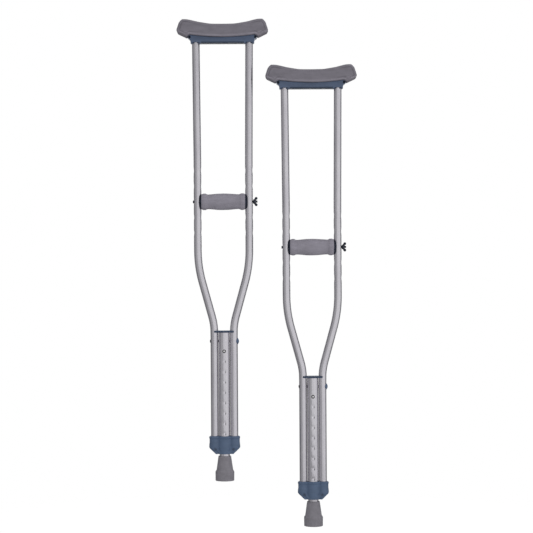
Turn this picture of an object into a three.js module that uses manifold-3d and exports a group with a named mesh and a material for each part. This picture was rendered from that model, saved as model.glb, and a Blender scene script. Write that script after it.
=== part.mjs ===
// A pair of aluminium push-button underarm crutches.
// Millimetres, +Z up, fronts facing -Y. The right crutch stands with its tip on z = 0.
// Each crutch is modelled about its own centreline, with heights measured from the sole of its rubber tip.
import * as THREE from "three";
import { mergeVertices } from "three/addons/utils/BufferGeometryUtils.js";
import Module from "manifold-3d";

const wasm = await Module();
wasm.setup();

// ---- Driving dimensions ----

const GAP = 0.3; // between pieces that touch
const OVERSHOOT = 1; // how far a cutting solid passes the face that it cuts
const PAIR_SPACING = 216.8; // between the two centrelines
const PAIR_STAGGER = 112.5; // how much higher the left crutch is set down

const BOW = { outer: 9.525, inner: 8.3, bottom: 84, top: 1080, sides: 12, bendSteps: 3, holeSides: 8 };
const BOW_LOW = 23.85; // half spacing of the bow centrelines beside the centre tube
const BOW_GRIP = 63.1; // the same along the handgrip's travel, where the bows are parallel
const BOW_TOP = 65.4; // the same in the underarm bracket
const LOWER_BEND = { height: 382.8, radius: 150 };
const UPPER_BEND = { height: 525.5, radius: 300 };
const PARALLEL_TOP = 790; // above this the bows spread slightly

const GRIP = { height: 684, holePitch: 38.1, holesEachSide: 2 };
const GRIP_BOLT = { radius: 3, hole: 3.4, headRadius: 4.3, end: 83.8 };

const CENTRE_TUBE = { outer: 14, inner: 13, bottom: 74, top: 363, sides: 20 };
const HEIGHT_HOLES = { radius: 4, pitch: 25.4, count: 9, top: 317.5, sides: 10 };
const CROSS_BOLT = { height: 342, radius: 2.9, hole: 3.3, headRadius: 4.25, headHeight: 1.2 };
const CAP = { radius: 8, skirt: 4.3, bore: 1.5, height: 3.2 };
const SPACER = { thickness: 4.5, halfWidth: 24.2, halfDepth: 14, plugDepth: 11 };

const COLLAR = { bottom: 66, shoulder: 81.4, top: 109.6, halfWidth: 38.1, halfBase: 21.5, depth: 80 };
const COLLAR_LOBES = { centre: 18.6, side: 14.1, sideAt: 24 };
const COLLAR_SCREW = { x: 22, height: 78, radius: 2, headRadius: 3.2, y: 15.2, length: 27.4 };
const GUIDE_RING = { inner: 13.05, outer: 17, bottom: 68.4, top: 73.6 };

const LEG = { outer: 12.7, inner: 11.3, bottom: 10.8, top: 334, sides: 20 };
const PLUG = { rim: 12.5, rimHeight: 2, stemDepth: 8 };
const BUTTON = { radius: 3.5, flange: 4.8, front: 15.8, flangeFront: 9.9, flangeBack: 8.9 };
const SPRING = { width: 8, thickness: 0.8, bottom: 276, top: 323.5, rear: 10.3 };

const TIP = { height: 60.5, bore: 13.1, floor: 9, washer: 12.2 };

const GRIP_CORE = { tube: 12, flange: 18.5, flangeInner: 52.6, flangeOuter: 56.4 };
const WASHER = { inner: 3.4, outer: 5.6, thickness: 1.2 };
const WING_NUT = { length: 6, earThickness: 4 };

// The pad and the bracket meet on an arc that is lowest at the middle.
const SEAM = { middle: 1086.9, halfWidth: 80, rise: 5.6, steps: 5 };
const BRACKET = { halfDepth: 15.5, bottom: 1072.1, socket: 12.8, socketBottom: 1069, socketRise: 12 };
const PAD = { depth: 47, bevel: 7 };

const FINISHES = {
  foam: { color: 0x76737a, roughness: 0.9, metalness: 0 },
  gripFoam: { color: 0x85828b, roughness: 0.85, metalness: 0 },
  aluminium: { color: 0xb4b3b8, roughness: 0.35, metalness: 1 },
  bluePlastic: { color: 0x53617a, roughness: 0.5, metalness: 0 },
  darkPlastic: { color: 0x33363e, roughness: 0.55, metalness: 0 },
  darkSteel: { color: 0x23262f, roughness: 0.4, metalness: 0.8 },
  paintedSteel: { color: 0x455064, roughness: 0.45, metalness: 0.2 },
  steel: { color: 0x9a9ca0, roughness: 0.3, metalness: 1 },
  nylon: { color: 0xd8d8d2, roughness: 0.6, metalness: 0 },
  rubber: { color: 0x77747b, roughness: 0.8, metalness: 0 },
};

// ---- Solids ----

// A closed three.js geometry as a solid that can be joined and cut.
function solid(geometry) {
  const bare = geometry.clone();
  bare.deleteAttribute("normal");
  bare.deleteAttribute("uv");
  const merged = mergeVertices(bare, 1e-4);
  return new wasm.Manifold(
    new wasm.Mesh({
      numProp: 3,
      vertProperties: merged.attributes.position.array,
      triVerts: new Uint32Array(merged.index.array),
    }),
  );
}

function geometryOf(made) {
  const mesh = made.getMesh();
  return new THREE.BufferGeometry()
    .setAttribute("position", new THREE.BufferAttribute(mesh.vertProperties, 3))
    .setIndex(new THREE.BufferAttribute(mesh.triVerts, 1))
    .toNonIndexed();
}

// Turns a geometry made along +Y so that it lies along another axis.
function alongAxis(geometry, axis) {
  if (axis === "x") geometry.rotateZ(-Math.PI / 2);
  if (axis === "z") geometry.rotateX(Math.PI / 2);
  return geometry;
}

// A cylinder from one place to another along an axis, through (x, y, z) on the other two.
function cylinder(radius, axis, from, to, at, sides = 16) {
  const geometry = new THREE.CylinderGeometry(radius, radius, to - from, sides);
  geometry.translate(0, (from + to) / 2, 0);
  alongAxis(geometry, axis);
  return solid(geometry.translate(at.x ?? 0, at.y ?? 0, at.z ?? 0));
}

// A turned piece from [radius, place along the axis] pairs that start and end on the axis.
function turned(profile, axis, at = {}, sides = 20) {
  const points = profile.map(([radius, along]) => new THREE.Vector2(radius, along));
  const geometry = alongAxis(new THREE.LatheGeometry(points, sides), axis);
  return solid(geometry.translate(at.x ?? 0, at.y ?? 0, at.z ?? 0));
}

// An outline in x and z, carried through a depth that is centred on y.
function plate(outline, depth, y = 0, bevel = 0) {
  const shape = new THREE.Shape(outline.map(([x, z]) => new THREE.Vector2(x, z)));
  const geometry = new THREE.ExtrudeGeometry(shape, {
    depth: depth - 2 * bevel,
    bevelEnabled: bevel > 0,
    bevelThickness: bevel,
    bevelSize: bevel,
    bevelOffset: -bevel,
    bevelSegments: 1,
  });
  geometry.translate(0, 0, bevel - depth / 2);
  geometry.rotateX(Math.PI / 2);
  return solid(geometry.translate(0, y, 0));
}

function tube(outer, inner, bottom, top, sides) {
  return cylinder(outer, "z", bottom, top, {}, sides).subtract(
    cylinder(inner, "z", bottom - OVERSHOOT, top + OVERSHOOT, {}, sides),
  );
}

const mirrored = (half) => [
  ...half,
  ...half
    .filter(([x]) => x > 0)
    .reverse()
    .map(([x, z]) => [-x, z]),
];

// ---- Frame ----

// A path that steps from station to station, so that a straight run takes one step.
class StationPath extends THREE.Curve {
  constructor(stations) {
    super();
    this.stations = stations;
  }
  getPointAt(share, target = new THREE.Vector3()) {
    return target.copy(this.stations[Math.round(share * (this.stations.length - 1))]);
  }
  getTangentAt(share, target = new THREE.Vector3()) {
    const last = this.stations.length - 1;
    const here = Math.round(share * last);
    target.set(0, 0, 0);
    for (const start of [here - 1, here]) {
      if (start < 0 || start === last) continue;
      target.add(this.stations[start + 1].clone().sub(this.stations[start]).normalize());
    }
    return target.normalize();
  }
}

// Points along straight runs joined by arcs, from corners given as { at, radius }.
function filletedRun(corners, stepsPerBend) {
  const points = [];
  corners.forEach(({ at, radius }, i) => {
    if (!radius) {
      points.push(at);
      return;
    }
    const before = at.clone().sub(corners[i - 1].at).normalize();
    const after = corners[i + 1].at.clone().sub(at).normalize();
    const turn = Math.atan2(before.cross(after), before.dot(after));
    const start = at.clone().addScaledVector(before, -radius * Math.tan(Math.abs(turn) / 2));
    const inward = new THREE.Vector2(-before.y, before.x).multiplyScalar(Math.sign(turn) * radius);
    const centre = start.clone().add(inward);
    for (let step = 0; step <= stepsPerBend; step++)
      points.push(start.clone().rotateAround(centre, (turn * step) / stepsPerBend));
  });
  return points;
}

function polygon(radius, sides) {
  return Array.from({ length: sides }, (_, i) => {
    const angle = (2 * Math.PI * i) / sides;
    return new THREE.Vector2(radius * Math.cos(angle), radius * Math.sin(angle));
  });
}

const gripHoleHeights = Array.from(
  { length: 2 * GRIP.holesEachSide + 1 },
  (_, i) => GRIP.height + (i - GRIP.holesEachSide) * GRIP.holePitch,
);

function bow(side) {
  const corner = (x, z, radius = 0) => ({ at: new THREE.Vector2(side * x, z), radius });
  const run = filletedRun(
    [
      corner(BOW_LOW, BOW.bottom),
      corner(BOW_LOW, LOWER_BEND.height, LOWER_BEND.radius),
      corner(BOW_GRIP, UPPER_BEND.height, UPPER_BEND.radius),
      corner(BOW_GRIP, PARALLEL_TOP),
      corner(BOW_TOP, BOW.top),
    ],
    BOW.bendSteps,
  );
  const ring = new THREE.Shape(polygon(BOW.outer, BOW.sides));
  ring.holes.push(new THREE.Path(polygon(BOW.inner, BOW.sides)));
  let made = solid(
    new THREE.ExtrudeGeometry(ring, {
      extrudePath: new StationPath(run.map(({ x, y }) => new THREE.Vector3(x, 0, y))),
      steps: run.length - 1,
    }),
  );
  const holes = [
    ...gripHoleHeights.map((z) => ({ z, x: BOW_GRIP, radius: GRIP_BOLT.hole })),
    { z: CROSS_BOLT.height, x: BOW_LOW, radius: CROSS_BOLT.hole },
  ];
  const reach = BOW.outer + OVERSHOOT;
  for (const { z, x, radius } of holes)
    made = made.subtract(cylinder(radius, "x", side * x - reach, side * x + reach, { z }, BOW.holeSides));
  return made;
}

// The space that a bow takes up over a short straight stretch, with its clearance.
function bowSpace(x, bottom, top, clearance = GAP) {
  const space = (side) =>
    cylinder(BOW.outer + clearance, "z", bottom, top, { x: side * x }, 16);
  return space(-1).add(space(1));
}

function centreTube() {
  const { outer, inner, bottom, top, sides } = CENTRE_TUBE;
  const reach = outer + OVERSHOOT;
  let made = tube(outer, inner, bottom, top, sides);
  for (let i = 0; i < HEIGHT_HOLES.count; i++) {
    const z = HEIGHT_HOLES.top - i * HEIGHT_HOLES.pitch;
    made = made.subtract(cylinder(HEIGHT_HOLES.radius, "y", -reach, 0, { z }, HEIGHT_HOLES.sides));
  }
  const boltAt = { z: CROSS_BOLT.height };
  return made.subtract(cylinder(CROSS_BOLT.hole, "x", -reach, reach, boltAt, HEIGHT_HOLES.sides));
}

// A plate on top of the centre tube, notched round the bows, with a plug below it.
function topSpacer() {
  const { thickness, halfWidth, halfDepth, plugDepth } = SPACER;
  const bottom = CENTRE_TUBE.top + GAP;
  const top = bottom + thickness;
  const box = new THREE.BoxGeometry(2 * halfWidth, 2 * halfDepth, thickness);
  box.translate(0, 0, (bottom + top) / 2);
  // The bows already lean outward a little at this height.
  const bowsAt = BOW_LOW + GAP / 2;
  const flange = solid(box).subtract(bowSpace(bowsAt, bottom - OVERSHOOT, top + OVERSHOOT, 2 * GAP));
  const plugRadius = CENTRE_TUBE.inner - 2 * GAP;
  return flange.add(cylinder(plugRadius, "z", bottom - plugDepth, (bottom + top) / 2, {}, 20));
}

function crossBolt() {
  const head = -BOW_LOW - BOW.outer - GAP;
  const { radius, headRadius, headHeight, height } = CROSS_BOLT;
  const end = BOW_LOW + BOW.outer + CAP.bore - GAP;
  return turned(
    [
      [0, head - headHeight],
      [headRadius * 0.6, head - headHeight * 0.8],
      [headRadius, head - headHeight * 0.25],
      [headRadius, head],
      [radius, head],
      [radius, end],
      [0, end],
    ],
    "x",
    { z: height },
    16,
  );
}

// A cap nut that saddles the right bow.
function crossBoltCap() {
  const face = BOW_LOW + BOW.outer;
  const boreEnd = face + CAP.bore;
  const skirt = face - CAP.skirt;
  const { height } = CROSS_BOLT;
  return turned(
    [
      [0, boreEnd],
      [CROSS_BOLT.hole, boreEnd],
      [CROSS_BOLT.hole, skirt],
      [CAP.radius, skirt],
      [CAP.radius, face + CAP.height * 0.1],
      [CAP.radius * 0.8, face + CAP.height * 0.375],
      [CAP.radius * 0.45, face + CAP.height * 0.85],
      [0, face + CAP.height],
    ],
    "x",
    { z: height },
  ).subtract(bowSpace(BOW_LOW, height - 2 * CAP.radius, height + 2 * CAP.radius));
}

// ---- Collar ----

function collar() {
  const { bottom, shoulder, top, halfWidth, halfBase, depth } = COLLAR;
  const lobe = (radius, x) => cylinder(radius, "z", bottom, top, { x }, 20);
  const lobes = lobe(COLLAR_LOBES.centre, 0)
    .add(lobe(COLLAR_LOBES.side, -COLLAR_LOBES.sideAt))
    .add(lobe(COLLAR_LOBES.side, COLLAR_LOBES.sideAt));
  const front = plate(
    mirrored([
      [halfBase, bottom],
      [halfWidth, shoulder],
      [halfWidth, top],
    ]),
    depth,
  );
  const tubeSeat = CENTRE_TUBE.bottom - GAP;
  const ringSeat = GUIDE_RING.bottom - GAP;
  const above = top + OVERSHOOT;
  let made = lobes
    .intersect(front)
    .subtract(bowSpace(BOW_LOW, BOW.bottom - GAP, above))
    .subtract(cylinder(CENTRE_TUBE.outer + GAP, "z", tubeSeat, above, {}, 24))
    .subtract(cylinder(GUIDE_RING.outer + GAP, "z", ringSeat, tubeSeat + GAP, {}, 24))
    .subtract(cylinder(LEG.outer + 3 * GAP, "z", bottom - OVERSHOOT, GUIDE_RING.bottom, {}, 24));
  for (const side of [-1, 1])
    made = made.subtract(collarScrew(side, GAP));
  const lowestHole = HEIGHT_HOLES.top - (HEIGHT_HOLES.count - 1) * HEIGHT_HOLES.pitch;
  const window = HEIGHT_HOLES.radius + 1;
  return made.subtract(
    cylinder(window, "y", -depth / 2, -CENTRE_TUBE.inner, { z: lowestHole }, HEIGHT_HOLES.sides),
  );
}

// A countersunk screw from the front; clearance makes the space it needs.
function collarScrew(side, clearance = 0) {
  const { x, height, radius, headRadius, y, length } = COLLAR_SCREW;
  return turned(
    [
      [0, -y - clearance],
      [headRadius + clearance, -y - clearance],
      [headRadius + clearance, -y + 1.4 + clearance],
      [radius + clearance, -y + 2.8 + clearance],
      [radius + clearance, -y + length + clearance],
      [0, -y + length + clearance],
    ],
    "y",
    { x: side * x, z: height },
    12,
  );
}

function guideRing() {
  const { inner, outer, bottom, top } = GUIDE_RING;
  return tube(outer, inner, bottom, top, 20);
}

// ---- Leg ----

function legTube() {
  const reach = -LEG.outer - OVERSHOOT;
  const hole = cylinder(HEIGHT_HOLES.radius, "y", reach, 0, { z: HEIGHT_HOLES.top }, 12);
  return tube(LEG.outer, LEG.inner, LEG.bottom, LEG.top, LEG.sides).subtract(hole);
}

function legTopPlug() {
  const { rim: rimRadius, rimHeight, stemDepth } = PLUG;
  const rim = LEG.top + GAP;
  return turned(
    [
      [0, rim - stemDepth],
      [LEG.inner - 2 * GAP, rim - stemDepth],
      [LEG.inner - 2 * GAP, rim],
      [rimRadius, rim],
      [rimRadius, rim + rimHeight],
      [0, rim + rimHeight],
    ],
    "z",
  );
}

function snapButton() {
  const { radius, flange, front, flangeFront, flangeBack } = BUTTON;
  return turned(
    [
      [0, -front],
      [radius * 0.55, -front + 0.3],
      [radius * 0.9, -front + 1.1],
      [radius, -front + 2.2],
      [radius, -flangeFront],
      [flange, -flangeFront],
      [flange, -flangeBack],
      [0, -flangeBack],
    ],
    "y",
    { z: HEIGHT_HOLES.top },
    16,
  );
}

// A V of spring strip inside the leg: the front arm backs the button, the rear arm bears on the wall.
function buttonSpring() {
  const { width, thickness, bottom, top, rear } = SPRING;
  const front = -BUTTON.flangeBack + GAP;
  const padBottom = HEIGHT_HOLES.top - BUTTON.flange - 1.2;
  const outline = [
    [front, top],
    [front, padBottom],
    [-1.6, bottom + 1.6],
    [0, bottom],
    [1.6, bottom + 1.6],
    [rear, top - 5],
    [rear - thickness, top - 4.4],
    [0.8, bottom + 2.6],
    [0, bottom + 1.4],
    [-0.8, bottom + 2.6],
    [front + thickness, padBottom + 0.4],
    [front + thickness, top],
  ];
  const shape = new THREE.Shape(outline.map(([y, z]) => new THREE.Vector2(y, z)));
  const strip = new THREE.ExtrudeGeometry(shape, { depth: width, bevelEnabled: false });
  // The outline's y and z, and the depth, become the row's y, z and x.
  strip.translate(0, 0, -width / 2);
  strip.applyMatrix4(
    new THREE.Matrix4().makeBasis(
      new THREE.Vector3(0, 1, 0),
      new THREE.Vector3(0, 0, 1),
      new THREE.Vector3(1, 0, 0),
    ),
  );
  return solid(strip);
}

function tip() {
  return turned(
    [
      [0, 0],
      [20.8, 0],
      [22.6, 1],
      [23.2, 3.2],
      [23.2, 22.6],
      [22.2, 25.2],
      [20.5, 27],
      [19.8, 29.6],
      [15.7, TIP.height - 1],
      [15.1, TIP.height],
      [TIP.bore, TIP.height],
      [TIP.bore, TIP.floor],
      [0, TIP.floor],
    ],
    "z",
  );
}

function tipWasher() {
  return cylinder(TIP.washer, "z", TIP.floor + GAP, LEG.bottom - GAP, {}, 20);
}

// ---- Handgrip ----

// A plastic tube whose end flanges saddle the bows.
function gripCore() {
  const { tube: tubeRadius, flange: flangeRadius, flangeInner, flangeOuter } = GRIP_CORE;
  const { height } = GRIP;
  const at = { z: height };
  const flange = (side) => {
    const [from, to] = [side * flangeInner, side * flangeOuter].sort((a, b) => a - b);
    return cylinder(flangeRadius, "x", from, to, at, 20);
  };
  const inside = flangeInner + OVERSHOOT;
  const outside = flangeOuter + OVERSHOOT;
  return cylinder(tubeRadius, "x", -inside, inside, at, 20)
    .add(flange(-1))
    .add(flange(1))
    .subtract(bowSpace(BOW_GRIP, height - 2 * flangeRadius, height + 2 * flangeRadius))
    .subtract(cylinder(GRIP_BOLT.hole, "x", -outside, outside, at, 12));
}

function gripSleeve() {
  const bore = GRIP_CORE.tube + GAP;
  const end = GRIP_CORE.flangeInner - GAP;
  const half = [
    [20.2, 0],
    [19.8, 16],
    [18, 36],
    [18.1, 40.5],
    [20.4, 44],
    [20.4, 49],
    [18.6, end],
  ];
  const outside = [...half.slice(1).map(([r, x]) => [r, -x]).reverse(), ...half];
  return turned([[bore, -end], ...outside, [bore, end], [bore, -end]], "x", { z: GRIP.height }, 16);
}

const gripFace = BOW_GRIP + BOW.outer + GAP;

function gripBolt() {
  const { radius, headRadius, end } = GRIP_BOLT;
  return turned(
    [
      [0, -gripFace - 1.9],
      [headRadius * 0.6, -gripFace - 1.6],
      [headRadius, -gripFace - 0.7],
      [headRadius, -gripFace],
      [radius, -gripFace],
      [radius, end - 0.8],
      [radius - 0.8, end],
      [0, end],
    ],
    "x",
    { z: GRIP.height },
    16,
  );
}

function nutWasher() {
  const at = { z: GRIP.height };
  const [from, to] = [gripFace, gripFace + WASHER.thickness];
  return cylinder(WASHER.outer, "x", from, to, at, 20).subtract(
    cylinder(WASHER.inner, "x", from - OVERSHOOT, to + OVERSHOOT, at, 12),
  );
}

// A wing nut with two splayed ears in the plane of its axis.
function wingNut() {
  const face = gripFace + WASHER.thickness + GAP;
  const { length, earThickness } = WING_NUT;
  const body = turned(
    [
      [0, face],
      [5.6, face],
      [5.4, face + 2.5],
      [4.6, face + length],
      [0, face + length],
    ],
    "x",
    { z: GRIP.height },
    16,
  );
  const ear = (side) => {
    const outline = [
      [0.6, 3.9],
      [1.2, 5.6],
      [3.8, 9.4],
      [5.2, 10.7],
      [7, 10.9],
      [8.7, 9.8],
      [9.3, 8],
      [8.4, 6],
      [5.4, 3.6],
    ].map(([along, out]) => [face + along, GRIP.height + side * out]);
    return plate(side > 0 ? outline.reverse() : outline, earThickness);
  };
  const end = face + length + OVERSHOOT;
  const bore = cylinder(GRIP_BOLT.radius + GAP, "x", face - OVERSHOOT, end, { z: GRIP.height }, 16);
  return body.add(ear(1)).add(ear(-1)).subtract(bore);
}

// ---- Underarm support ----

// The arc on which pad and bracket meet, from the right end to the middle.
function seam(offset) {
  return Array.from({ length: SEAM.steps + 1 }, (_, i) => {
    const share = 1 - i / SEAM.steps;
    return [share * SEAM.halfWidth, SEAM.middle + offset + SEAM.rise * share ** 2];
  });
}

function underarmBracket() {
  const { halfDepth, bottom, socket, socketBottom, socketRise } = BRACKET;
  const end = [
    [77.5, bottom],
    [78.6, bottom + 8.4],
    [85.5, bottom + 13.6],
  ];
  const bar = plate(mirrored([[0, bottom], ...end, ...seam(-GAP)]), 2 * halfDepth);
  const sleeve = (side) =>
    cylinder(socket, "z", socketBottom, bottom + socketRise, { x: side * BOW_TOP }, 24);
  return bar
    .add(sleeve(-1))
    .add(sleeve(1))
    .subtract(bowSpace(BOW_TOP, socketBottom - OVERSHOOT, BOW.top + GAP));
}

// Round the end lobe and along the saddle, with heights above the middle of the seam.
function underarmPad() {
  const lobeAndSaddle = [
    [87.5, -0.2],
    [109.2, 10.2],
    [112.4, 16.7],
    [110.6, 26.4],
    [105.4, 37],
    [98.5, 42.9],
    [91, 43.8],
    [78, 41.3],
    [60, 36.9],
    [40, 33.1],
    [22, 31.8],
    [0, 31.7],
  ].map(([x, rise]) => [x, SEAM.middle + rise]);
  return plate(mirrored([...seam(0).reverse(), ...lobeAndSaddle]), PAD.depth, 0, PAD.bevel);
}

// ---- Assembly ----

function crutchPieces() {
  return {
    underarm_pad: [underarmPad(), "foam"],
    underarm_bracket: [underarmBracket(), "bluePlastic"],
    left_bow: [bow(-1), "aluminium"],
    right_bow: [bow(1), "aluminium"],
    centre_tube: [centreTube(), "aluminium"],
    top_spacer: [topSpacer(), "darkPlastic"],
    cross_bolt: [crossBolt(), "darkSteel"],
    cross_bolt_cap: [crossBoltCap(), "bluePlastic"],
    collar: [collar(), "bluePlastic"],
    collar_screw_left: [collarScrew(-1), "paintedSteel"],
    collar_screw_right: [collarScrew(1), "paintedSteel"],
    leg_guide_ring: [guideRing(), "nylon"],
    leg_tube: [legTube(), "aluminium"],
    leg_top_plug: [legTopPlug(), "nylon"],
    snap_button: [snapButton(), "steel"],
    button_spring: [buttonSpring(), "steel"],
    tip: [tip(), "rubber"],
    tip_washer: [tipWasher(), "steel"],
    grip_core: [gripCore(), "darkPlastic"],
    grip_sleeve: [gripSleeve(), "gripFoam"],
    grip_bolt: [gripBolt(), "darkSteel"],
    nut_washer: [nutWasher(), "darkSteel"],
    wing_nut: [wingNut(), "darkSteel"],
  };
}

function crutch(prefix) {
  const group = new THREE.Group();
  for (const [name, [made, finish]] of Object.entries(crutchPieces())) {
    const material = new THREE.MeshStandardMaterial(FINISHES[finish]);
    const mesh = new THREE.Mesh(geometryOf(made), material);
    mesh.name = `${prefix}_${name}`;
    group.add(mesh);
  }
  return group;
}

const crutches = new THREE.Group();
const left = crutch("crutch_a");
left.position.set(-PAIR_SPACING / 2, 0, PAIR_STAGGER);
const right = crutch("crutch_b");
right.position.set(PAIR_SPACING / 2, 0, 0);
crutches.add(left, right);

export default crutches;
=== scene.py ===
"""A pair of aluminium underarm crutches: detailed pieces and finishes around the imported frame.

Each piece is modelled once, in millimetres about its crutch's own centreline with heights from the sole of
the rubber tip, and is then placed on both crutches.
"""

import math

import bmesh
import bpy
import numpy as np
from mathutils import Matrix, Vector, noise
from mathutils.kdtree import KDTree


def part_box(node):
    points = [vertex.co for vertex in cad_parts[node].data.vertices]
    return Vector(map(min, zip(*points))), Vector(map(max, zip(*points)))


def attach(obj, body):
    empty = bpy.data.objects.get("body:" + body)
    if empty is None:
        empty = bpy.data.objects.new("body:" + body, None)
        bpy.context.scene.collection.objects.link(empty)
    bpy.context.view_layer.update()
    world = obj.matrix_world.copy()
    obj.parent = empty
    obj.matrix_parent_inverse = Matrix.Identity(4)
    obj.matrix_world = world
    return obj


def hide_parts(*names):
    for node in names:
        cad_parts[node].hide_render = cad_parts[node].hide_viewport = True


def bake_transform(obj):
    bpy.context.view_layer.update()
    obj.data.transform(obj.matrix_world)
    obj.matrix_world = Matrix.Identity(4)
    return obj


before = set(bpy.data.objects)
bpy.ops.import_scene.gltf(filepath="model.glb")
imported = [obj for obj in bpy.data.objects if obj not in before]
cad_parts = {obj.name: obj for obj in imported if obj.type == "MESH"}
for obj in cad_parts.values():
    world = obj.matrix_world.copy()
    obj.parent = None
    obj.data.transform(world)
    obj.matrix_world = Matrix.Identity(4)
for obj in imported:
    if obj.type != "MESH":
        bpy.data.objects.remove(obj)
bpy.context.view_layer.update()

MM = 0.001
CRUTCHES = ("crutch_a", "crutch_b")
SIDES = (-1, 1)


def origin_of(crutch):
    """The middle of a crutch's sole, in metres."""
    low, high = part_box(f"{crutch}_tip")
    return Vector(((low.x + high.x) / 2, (low.y + high.y) / 2, low.z))


ORIGINS = {crutch: origin_of(crutch) for crutch in CRUTCHES}


def span(node):
    """The lowest and highest corner of a CAD node, in millimetres about its own crutch."""
    low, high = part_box(f"{CRUTCHES[0]}_{node}")
    return (low - ORIGINS[CRUTCHES[0]]) / MM, (high - ORIGINS[CRUTCHES[0]]) / MM


def middle(node):
    low, high = span(node)
    return (low + high) / 2


# ---- Driving dimensions, in millimetres ----

GAP = 0.3  # between pieces that sit against each other
BOW_RADIUS = 9.525
BOW_SEAT = BOW_RADIUS + GAP  # the hollow that takes a bow
BOW_BORE = 8.3
BOW_LOW = 23.85  # half spacing of the bows beside the centre tube
BOW_GRIP = 63.1  # the same along the handgrip's travel
BOW_TOP = 65.4  # the same in the underarm bracket
BOW_BOTTOM, BOW_END = span("left_bow")[0].z, span("left_bow")[1].z
LOWER_BEND, LOWER_BEND_RADIUS = 382.8, 150
UPPER_BEND, UPPER_BEND_RADIUS = 525.5, 300
SPREAD_START, SPREAD_RADIUS = 790, 900

GRIP_HEIGHT = middle("grip_core").z
GRIP_PITCH = 38.1
GRIP_HOLES = [GRIP_HEIGHT + step * GRIP_PITCH for step in (-2, -1, 0, 1, 2)]
GRIP_HOLE_RADIUS = 3.4
PINCH_DEPTH, PINCH_HALF_LENGTH = 1.05, 11
GRIP_FACE = BOW_GRIP + BOW_RADIUS + GAP

TUBE_RADIUS = 13.8
TUBE_BORE = 13
TUBE_BOTTOM, TUBE_TOP = span("centre_tube")[0].z, span("centre_tube")[1].z
HOLE_TOP = middle("snap_button").z
HOLE_PITCH = 25.4
HOLE_COUNT = 9
HOLE_RADIUS = 4
BUTTON_HOLE_RADIUS = 4.4  # worn wider by the button
HEIGHT_HOLES = [HOLE_TOP - step * HOLE_PITCH for step in range(HOLE_COUNT)]

LEG_RADIUS, LEG_BORE = 12.7, 11.3
LEG_BOTTOM, LEG_TOP = span("leg_tube")[0].z, span("leg_tube")[1].z
CROSS_BOLT_HEIGHT = middle("cross_bolt").z
CROSS_HOLE_RADIUS = 3.05
THREAD_PITCH = 1.27


# ---- Mesh tools ----


def filleted(corners, step=math.radians(10)):
    """Points of an outline whose corners, (u, v) or (u, v, radius), are rounded by arcs of that radius."""
    points = []
    count = len(corners)
    for i, corner in enumerate(corners):
        here = Vector(corner[:2])
        radius = corner[2] if len(corner) > 2 else 0
        if not radius:
            points.append(here)
            continue
        before = (here - Vector(corners[i - 1][:2])).normalized()
        after = (Vector(corners[(i + 1) % count][:2]) - here).normalized()
        turn = math.atan2(before.x * after.y - before.y * after.x, before.dot(after))
        reach = radius * math.tan(abs(turn) / 2)
        start = here - before * reach
        side = math.copysign(1, turn)
        centre = start + Vector((-before.y, before.x)) * side * radius
        steps = max(2, math.ceil(abs(turn) / step))
        arm = start - centre
        for k in range(steps + 1):
            angle = turn * k / steps
            cos, sin = math.cos(angle), math.sin(angle)
            points.append(centre + Vector((arm.x * cos - arm.y * sin, arm.x * sin + arm.y * cos)))
    return [tuple(p) for p in points]


def mirrored(half):
    """An outline that is the same on both sides, from its right half."""
    return list(half) + [(-p[0], *p[1:]) for p in reversed(half) if p[0] > 0]


def circle(count, radius=1.0):
    angles = np.arange(count) * 2 * math.pi / count
    return np.stack([radius * np.cos(angles), radius * np.sin(angles)], axis=1)


def build(name, vertices, faces, grain=None):
    """A mesh object in millimetres, with its faces all turned the same way."""
    mesh = bpy.data.meshes.new(name)
    mesh.from_pydata([tuple(v) for v in vertices], [], faces)
    if grain is not None:
        attribute = mesh.attributes.new("grain", "FLOAT_VECTOR", "POINT")
        attribute.data.foreach_set("vector", np.asarray(grain, np.float32).ravel())
    work = bmesh.new()
    work.from_mesh(mesh)
    bmesh.ops.recalc_face_normals(work, faces=work.faces)
    work.to_mesh(mesh)
    work.free()
    made = bpy.data.objects.new(name, mesh)
    bpy.context.scene.collection.objects.link(made)
    return made


def loft(name, rings, closed=False, grain=None):
    """A skin over rings of equally many points. The ends are capped, or joined to each other if closed."""
    count, rows = len(rings[0]), len(rings)
    faces = []
    for row in range(rows if closed else rows - 1):
        a, b = row * count, (row + 1) % rows * count
        for i in range(count):
            j = (i + 1) % count
            faces.append((a + i, a + j, b + j, b + i))
    if not closed:
        faces.append(tuple(range(count)))
        faces.append(tuple(range((rows - 1) * count, rows * count)))
    return build(name, np.concatenate(rings), faces, None if grain is None else np.concatenate(grain))


AXES = {
    "x": ((0, 1, 0), (0, 0, 1), (1, 0, 0)),
    "y": ((0, 0, 1), (1, 0, 0), (0, 1, 0)),
    "z": ((1, 0, 0), (0, 1, 0), (0, 0, 1)),
}
LEAST_RADIUS = 0.02  # no ring closes to a point


def turned(name, profile, axis="z", at=(0, 0, 0), sides=64, closed=False):
    """A turned piece from (radius, place along the axis) pairs. closed is for a profile round a bore."""
    u, v, along = (np.array(a, float) for a in AXES[axis])
    ring = circle(sides)
    rings, grain = [], []
    for radius, place in profile:
        radius = max(radius, LEAST_RADIUS)
        flat = ring * radius
        rings.append(np.array(at) + flat[:, :1] * u + flat[:, 1:] * v + place * along)
        grain.append(np.column_stack([flat, np.full(sides, place)]))
    return loft(name, rings, closed, grain)


def extruded(name, outline, depth, plane="xz", at=0.0):
    """A flat outline carried through a depth centred on at."""
    points = np.array(outline, float)
    rings = []
    for place in (at - depth / 2, at + depth / 2):
        level = np.full(len(points), place)
        if plane == "xz":
            rings.append(np.column_stack([points[:, 0], level, points[:, 1]]))
        else:
            rings.append(np.column_stack([points[:, 0], points[:, 1], level]))
    return loft(name, rings)


def rod(radius, axis, start, end, at=(0, 0, 0), sides=48):
    return turned("rod", [(radius, start), (radius, end)], axis, at, sides)


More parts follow.
